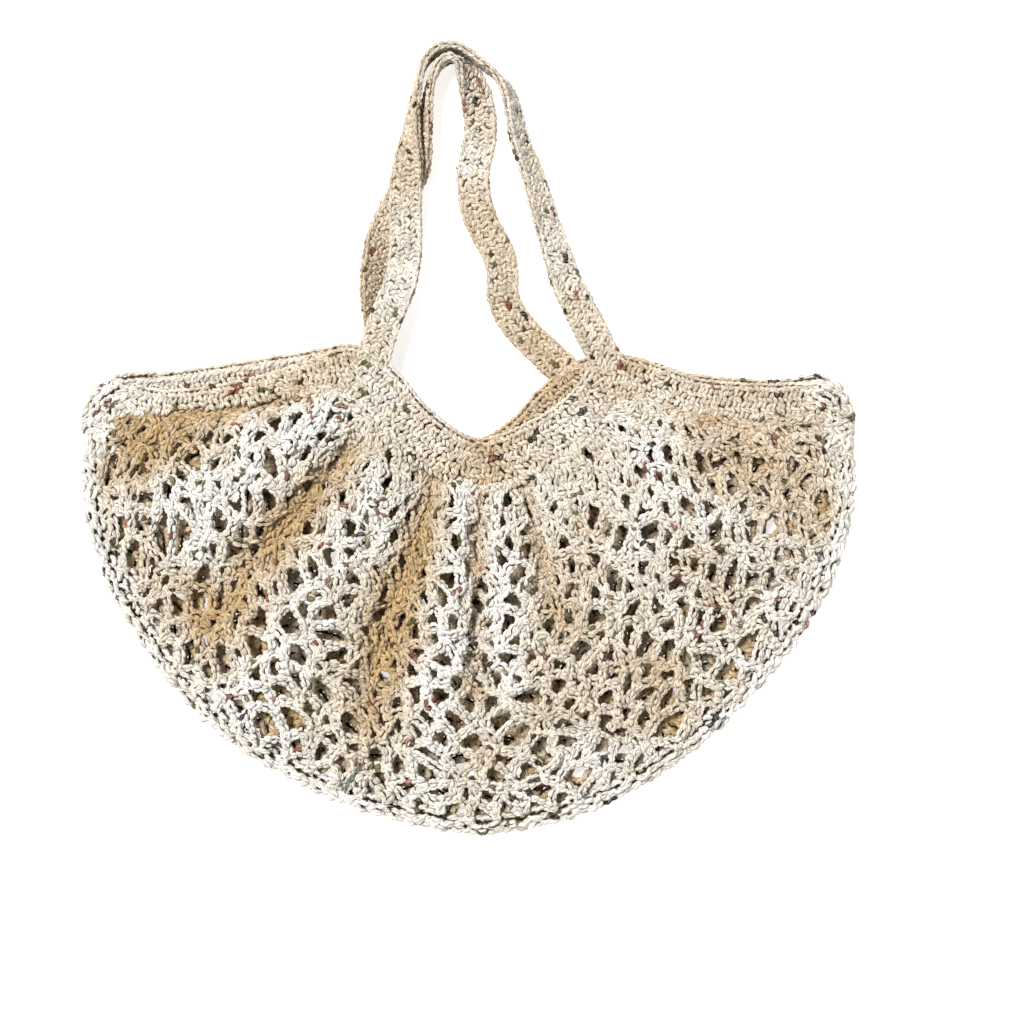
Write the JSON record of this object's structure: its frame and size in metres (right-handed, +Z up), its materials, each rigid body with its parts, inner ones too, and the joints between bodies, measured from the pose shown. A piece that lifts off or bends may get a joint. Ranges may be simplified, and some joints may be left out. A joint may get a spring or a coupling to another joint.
{
  "type": "crocheted mesh bag",
  "caption": "Crocheted cotton mesh bag lying flat, wide and round-bottomed, with a deep V neck, solid bands round the mouth and long shoulder straps.",
  "frame": {"origin": "centre of the bag's footprint, on the surface it lies on", "axes": "+X across the bag to the right, +Y from the round base towards the straps, +Z up, out of the front layer"},
  "size_m": [0.5044, 0.5139, 0.0304],
  "materials": {
    "mesh_cotton": "soft matte crocheted cotton, open mesh",
    "band_cotton": "soft matte single crochet",
    "edging_cotton": "soft matte chain stitch",
    "strap_cotton": "soft matte single crochet strap",
    "tail_yarn": "plied cotton yarn"
  },
  "bodies": {
    "root": {"rear_mesh_panel": "mesh_cotton", "rear_neck_band": "band_cotton", "rear_rim_left": "band_cotton", "rear_rim_right": "band_cotton", "rear_mouth_edging": "edging_cotton", "base_fold": "mesh_cotton", "left_corner_turn": "band_cotton", "right_corner_turn": "band_cotton", "rear_strap_seam_left": "strap_cotton", "rear_strap_seam_right": "strap_cotton"},
    "front_panel": {"front_mesh_panel": "mesh_cotton", "front_neck_band": "band_cotton", "front_rim_left": "band_cotton", "front_rim_right": "band_cotton", "front_mouth_edging": "edging_cotton", "front_strap_seam_left": "strap_cotton", "front_strap_seam_right": "strap_cotton", "yarn_tail": "tail_yarn"},
    "front_strap": {"front_strap": "strap_cotton"},
    "rear_strap": {"rear_strap": "strap_cotton"}
  },
  "joints": [
    {"name": "mouth_open", "type": "hinge", "parent": "root", "child": "front_panel", "pos_m": [0, -0.247, 0.0052], "axis": [1, 0, 0], "range_deg": [0, 14]},
    {"name": "front_strap_swing", "type": "hinge", "parent": "front_panel", "child": "front_strap", "pos_m": [0.012, 0.066, 0.0236], "axis": [1, 0, 0], "range_deg": [0, 95]},
    {"name": "rear_strap_swing", "type": "hinge", "parent": "root", "child": "rear_strap", "pos_m": [-0.014, 0.074, 0.0047], "axis": [1, 0, 0], "range_deg": [0, 66.5]}
  ],
  "couplings": [
    {"joint": "rear_strap_swing", "follows": "front_strap_swing", "ratio": 0.7}
  ]
}
